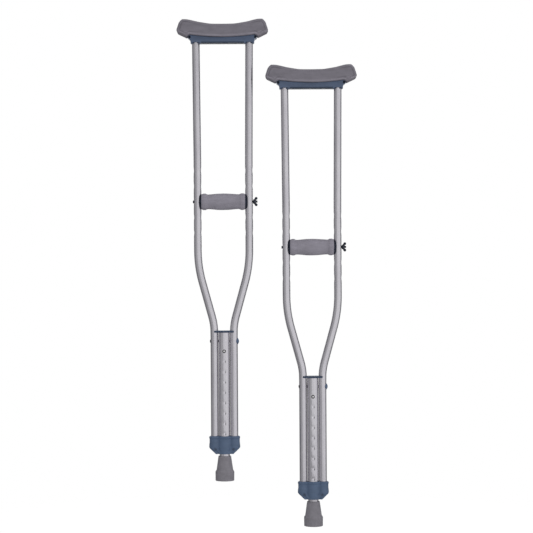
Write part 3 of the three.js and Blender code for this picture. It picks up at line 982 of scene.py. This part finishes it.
def seam(offset=0.0, start=SEAM_HALF, steps=12):
    """The arc on which pad and bracket meet, from start to the middle."""
    shares = np.linspace(1, 0, steps + 1) * start / SEAM_HALF
    return [(s * SEAM_HALF, SEAM_MIDDLE + offset + SEAM_RISE * s * s) for s in shares]


def underarm_bracket():
    low, high = span("underarm_bracket")
    bottom, socket = 1072.1, 12.8
    half = filleted(
        [(0, bottom), (77.4, bottom, 1.2), (78.6, bottom + 8.4, 2.0), (85.4, bottom + 13.7, 1.0),
         (80.8, bottom + 19.9, 0.8), *seam(-GAP, 78.5)]
    )
    made = extruded("underarm_bracket", mirrored(half), 2 * high.y)
    rim = bottom - 0.5
    rise = [(0, rim), (socket - 0.6, rim), (socket, rim + 0.8), (socket, bottom + 9), (0, bottom + 12)]
    joined(made, *[turned("socket", rise, "z", (side * BOW_TOP, 0, 0)) for side in SIDES])
    cut(made, *[rod(BOW_SEAT, "z", low.z - 2, BOW_END + GAP, (s * BOW_TOP, 0, 0)) for s in SIDES])
    # An open front at the foot of each socket, and a hollow in each end below the pad.
    reach, foot, lintel = BOW_RADIUS, low.z - 1, bottom + 2.4
    mouth = [(-reach, foot), (reach, foot), (reach, lintel), (-reach, lintel)]
    hollow = [(77.6, 13.4), (80.2, 11.2), (84.1, 13.9), (81.0, 18.4), (77.8, 17.6)]
    depth, ahead = 20, 18
    openings = []
    for side in SIDES:
        openings.append(extruded("mouth", [(side * BOW_TOP + x, z) for x, z in mouth], depth, at=-ahead))
        outline = [(side * x, bottom + z) for x, z in hollow]
        openings += [extruded("hollow", outline, depth, at=face * ahead) for face in SIDES]
    cut(made, *openings)
    moulded(made, 0.75, 2)
    # The lower edges of the bar are cut back, and painted shade darkens them and the hollows.
    points = points_of(made)
    between = np.abs(points[:, 0]) < BOW_TOP - socket
    low_share = np.clip(1 - (points[:, 2] - bottom) / 4.6, 0, 1) * between
    points[:, 1] -= np.sign(points[:, 1]) * low_share * 2.2
    reshaped(made, points)
    end_share = hump(np.abs(points[:, 0]), 81, 3.4) * (points[:, 2] > bottom + 11)
    inside = np.clip((high.y - 0.8 - np.abs(points[:, 1])) / 1.5, 0, 1)
    painted_shade_edge = 0.55 * np.minimum(low_share * 1.8, 1)
    painted_shade_hollow = 0.85 * end_share * inside * (1 - low_share)
    return painted(made, 1 - painted_shade_edge - painted_shade_hollow)


def resampled(outline, step):
    """The same closed outline with points a step apart."""
    points = np.array([*outline, outline[0]], float)
    along = np.concatenate([[0], np.cumsum(np.linalg.norm(np.diff(points, axis=0), axis=1))])
    places = np.linspace(0, along[-1], round(along[-1] / step), endpoint=False)
    return np.column_stack([np.interp(places, along, points[:, k]) for k in (0, 1)])


def nearest(points, others):
    """How far each point is from the nearest of the others."""
    tree = KDTree(len(others))
    for i, (u, v) in enumerate(others):
        tree.insert((u, v, 0), i)
    tree.balance()
    return np.array([tree.find((u, v, 0))[2] for u, v in points])


def underarm_pad():
    """A moulded foam saddle: rounded over the top and ends, crisper below, crowned on its faces."""
    high = span("underarm_pad")[1]
    half_depth, round_over = high.y, 7.0
    top, crest = SEAM_MIDDLE + 31.7, high.z
    half = filleted(
        [
            *seam(0.0, 79.6)[::-1],
            (87.5, SEAM_MIDDLE, 1.2),
            (109.6, SEAM_MIDDLE + 10.4, 4.5),
            (high.x, SEAM_MIDDLE + 17.0, 4.0),
            (106.2, SEAM_MIDDLE + 35.6, 7.0),
            (99.0, crest, 6.0),
            (86.0, crest - 0.2, 50.0),
            (60.0, SEAM_MIDDLE + 36.9, 90.0),
            (30.0, SEAM_MIDDLE + 32.0, 90.0),
            (0, top),
        ]
    )
    outline = resampled(mirrored(half), 1.6)
    ahead, behind = np.roll(outline, -1, axis=0), np.roll(outline, 1, axis=0)
    tangent = ahead - behind
    tangent /= np.linalg.norm(tangent, axis=1)[:, None]
    outward = np.column_stack([tangent[:, 1], -tangent[:, 0]])
    above = outline[:, 1] - (SEAM_MIDDLE + SEAM_RISE * (outline[:, 0] / SEAM_HALF) ** 2)
    inset_share = np.clip(0.28 + 0.72 * (above - 2) / 8, 0.28, 1.0)
    inset_share[np.abs(outline[:, 0]) > 100] = 1.0
    rings = []
    angles = np.linspace(math.pi / 2, 0, 8)
    layers = [(-(half_depth - round_over + round_over * math.sin(a)), 1 - math.cos(a)) for a in angles]
    layers += [(-y, inset) for y, inset in reversed(layers)]
    for y, inset in layers:
        flat = outline - outward * (inset * round_over * inset_share)[:, None]
        rings.append(np.column_stack([flat[:, 0], np.full(len(flat), y), flat[:, 1]]))
    made = moulded(loft("underarm_pad", rings), 1.0, 4)
    points = points_of(made)
    floor = SEAM_MIDDLE + SEAM_RISE * (points[:, 0] / SEAM_HALF) ** 2
    height = np.clip((points[:, 2] - floor) / (top - SEAM_MIDDLE), 0, 1.2)
    crown = 1 - 0.055 * np.abs(height - 0.45) ** 1.5 - 0.05 * (np.abs(points[:, 0]) / high.x) ** 4
    points[:, 1] *= crown
    # A crease where the face turns into the rounded edge, deepest round the ends.
    inside = nearest(points[:, ::2], outline)
    at_end = np.clip((np.abs(points[:, 0]) - 55) / 30, 0.15, 1)
    on_face = np.clip((np.abs(points[:, 1]) - half_depth * 0.7) / 3, 0, 1)
    crease = at_end * on_face * hump(inside, round_over, 1.3)
    points[:, 1] -= np.sign(points[:, 1]) * crease * 1.5
    reshaped(made, points)
    # The skin gets painted light along the lower edge and painted shade in the crease.
    painted_light_band = hump(points[:, 2] - floor, 3.0, 2.6) * on_face
    painted(made, 1 + 0.3 * painted_light_band - 0.22 * crease)
    return roughened(made, 0.5, 38, 1.7)


# ---- The pieces on both crutches ----

LEG, BUTTON, GRIP, WASHER, NUT = "{}_leg", "{}_button", "{}_grip", "{}_washer", "{}_nut"
# The leaf spring bends between its rear arm, which stays with the leg, and the front arm behind the button.
SPRING_BEND = (BUTTON, (0, 0, 300), (0, -8.2, 300))

place(underarm_pad(), "pad", "frames", "underarm_pad", "pad_foam", 60, fill=0.9)
place(
    underarm_bracket(), "bracket", "frames", "underarm_bracket", "blue_plastic", 60, finish=BRACKET_PLASTIC
)
place(bow(-1), "bow_left", "frames", "left_bow", "tube_aluminium")
place(bow(1), "bow_right", "frames", "right_bow", "tube_aluminium")
place(centre_tube(), "main_tube", "frames", "centre_tube", "tube_aluminium")
place(top_spacer(), "spacer", "frames", "top_spacer", "dark_plastic", 60, finish=SPACER_PLASTIC)
place(cross_bolt(), "through_bolt", "frames", "cross_bolt", "dark_steel", finish=BOLT_STEEL)
place(cross_bolt_cap(), "bolt_cap", "frames", "cross_bolt_cap", "blue_plastic", 60)
place(collar(), "foot_collar", "frames", "collar", "blue_plastic", 60)
for side in ("left", "right"):
    place(collar_screw(side), f"screw_{side}", "frames", f"collar_screw_{side}", "painted_steel")
place(leg_tube(), "leg", LEG, "leg_tube", "tube_aluminium", finish=LEG_ALUMINIUM)
place(tip(), "rubber_tip", LEG, "tip", "tip_rubber", 50)
place(snap_button(), "button", BUTTON, "snap_button", "bright_steel", finish=BUTTON_STEEL)
place(button_spring(), "leaf_spring", LEG, "button_spring", "bright_steel", bend=SPRING_BEND)
place(grip_core(), "grip_saddles", GRIP, "grip_core", "dark_plastic", 60)
place(grip_sleeve(), "grip", GRIP, "grip_sleeve", "grip_foam", 60, fill=0.9)
place(grip_bolt(), "bolt", GRIP, "grip_bolt", "dark_steel", 50)
place(nut_washer(), "washer", WASHER, "nut_washer", "dark_steel")
place(wing_nut(), "wing", NUT, "wing_nut", "dark_steel", 60, finish=BOLT_STEEL)
keep("leg_guide_ring", "nylon")
keep("leg_top_plug", "nylon")
keep("tip_washer", "bright_steel")


# ---- Floor, light and camera ----

CAMERA_DISTANCE = 4.3
CAMERA_HEIGHT = 0.6370
CAMERA_AIM_X = -0.0034
CAMERA_ROLL = math.radians(-0.33)
FIELD = 2 * math.atan(0.654 / CAMERA_DISTANCE)
AIM = Vector((0, 0, 0.62))
# (name, azimuth, elevation, distance, width, height, radiance)
LIGHTS = [
    ("key", 8, -1, 2.8, 2.9, 2.3, 0.62),
    ("key_right", 62, -1, 2.8, 3.0, 2.3, 0.66),
    ("fill", -47, 4, 2.8, 2.8, 2.6, 0.24),
    ("top", 0, 80, 2.2, 2.4, 2.0, 0.6),
    ("back", 180, 20, 3.0, 3.0, 2.6, 0.9),
]


def floor():
    """A disc just below the lowest that a drawn-out leg reaches, fading into the white around it."""
    radius, solid_to, drop = 2.4, 1.1, 0.205
    ring = circle(96, radius)
    made = build("floor", np.column_stack([ring, np.full(len(ring), -drop)]), [tuple(range(len(ring)))])
    f = Finish("floor")
    out = f.tree.nodes["Material Output"]
    where = f.node("ShaderNodeTexCoord").outputs["Object"]
    away = f.node("ShaderNodeVectorMath", {0: where}, operation="LENGTH").outputs["Value"]
    fade = f.node(
        "ShaderNodeMapRange",
        {"Value": away, "From Min": solid_to, "From Max": radius * 0.95},
        interpolation_type="SMOOTHSTEP",
    ).outputs["Result"]
    seen = f.node("ShaderNodeLightPath").outputs["Is Camera Ray"]
    glow = f.between(seen, 0.1, 0.82, 0.0, 1.0)
    f.set(Base_Color=(0.35, 0.35, 0.35, 1), Roughness=0.9)
    f.set(Emission_Color=(1, 1, 1, 1), Emission_Strength=glow)
    clear = f.node("ShaderNodeBsdfTransparent")
    mix = f.node("ShaderNodeMixShader", {0: fade})
    f.tree.links.new(f.shader.outputs[0], mix.inputs[1])
    f.tree.links.new(clear.outputs[0], mix.inputs[2])
    f.tree.links.new(mix.outputs[0], out.inputs["Surface"])
    made.data.materials.append(f.material)


def softbox(name, azimuth, elevation, distance, width, height, radiance):
    """A soft light aimed at the pair. Azimuth is from the front, positive to the right."""
    a, e = math.radians(azimuth), math.radians(elevation)
    direction = Vector((math.sin(a) * math.cos(e), -math.cos(a) * math.cos(e), math.sin(e)))
    light = bpy.data.lights.new(name, "AREA")
    light.shape = "RECTANGLE"
    light.size, light.size_y = width, height
    light.energy = radiance * math.pi * width * height
    made = bpy.data.objects.new(name, light)
    made.location = AIM + direction * distance
    made.rotation_euler = (-direction).to_track_quat("-Z", "Y").to_euler()
    made.visible_camera = False
    bpy.context.scene.collection.objects.link(made)


def surroundings():
    """White behind the pair, in a dim studio that lights it evenly from all round."""
    world = bpy.data.worlds.new("studio")
    bpy.context.scene.world = world
    world.use_nodes = True
    nodes, links = world.node_tree.nodes, world.node_tree.links
    nodes.clear()
    out = nodes.new("ShaderNodeOutputWorld")
    mix = nodes.new("ShaderNodeMixShader")
    path = nodes.new("ShaderNodeLightPath")
    dim, white = nodes.new("ShaderNodeBackground"), nodes.new("ShaderNodeBackground")
    dim.inputs["Color"].default_value = (0.98, 0.98, 1.0, 1)
    dim.inputs["Strength"].default_value = 0.25
    white.inputs["Color"].default_value = (1, 1, 1, 1)
    links.new(path.outputs["Is Camera Ray"], mix.inputs[0])
    links.new(dim.outputs[0], mix.inputs[1])
    links.new(white.outputs[0], mix.inputs[2])
    links.new(mix.outputs[0], out.inputs["Surface"])


def camera():
    data = bpy.data.cameras.new("camera")
    data.sensor_width = 36
    data.lens = data.sensor_width / 2 / math.tan(FIELD / 2)
    data.clip_end = 100
    made = bpy.data.objects.new("camera", data)
    made.location = (CAMERA_AIM_X, -CAMERA_DISTANCE, CAMERA_HEIGHT)
    level = Matrix.Rotation(math.pi / 2, 4, "X")
    made.rotation_euler = (level @ Matrix.Rotation(CAMERA_ROLL, 4, "Z")).to_euler()
    bpy.context.scene.collection.objects.link(made)
    bpy.context.scene.camera = made


floor()
for light in LIGHTS:
    softbox(*light)
surroundings()
camera()
bpy.context.scene.view_settings.view_transform = "Standard"
